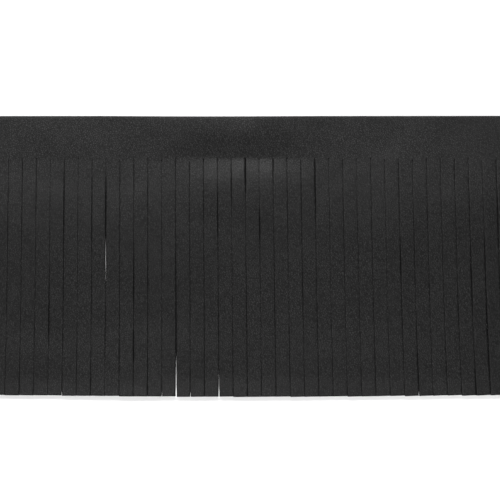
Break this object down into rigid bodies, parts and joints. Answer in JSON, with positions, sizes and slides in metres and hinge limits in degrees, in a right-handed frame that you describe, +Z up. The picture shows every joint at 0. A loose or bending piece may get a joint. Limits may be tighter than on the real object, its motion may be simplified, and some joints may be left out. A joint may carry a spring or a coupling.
{
  "type": "faux leather fringe trim",
  "caption": "Black faux leather fringe trim: a plain flat heading band slit below into narrow flat strands, lying face up, sewn or glued along an edge by its heading.",
  "frame": {"origin": "middle of the footprint, on the surface that the trim lies on", "axes": "+X along the heading, +Y from the strand tips to the heading's edge, +Z up out of the coated face"},
  "size_m": [0.2562, 0.1008, 0.003],
  "materials": {
    "faux_leather": "black coated cloth, semi-matt with a fine pebbled grain on the face, matt knit back"
  },
  "bodies": {
    "root": {"fringe_trim": "faux_leather"}
  },
  "joints": []
}
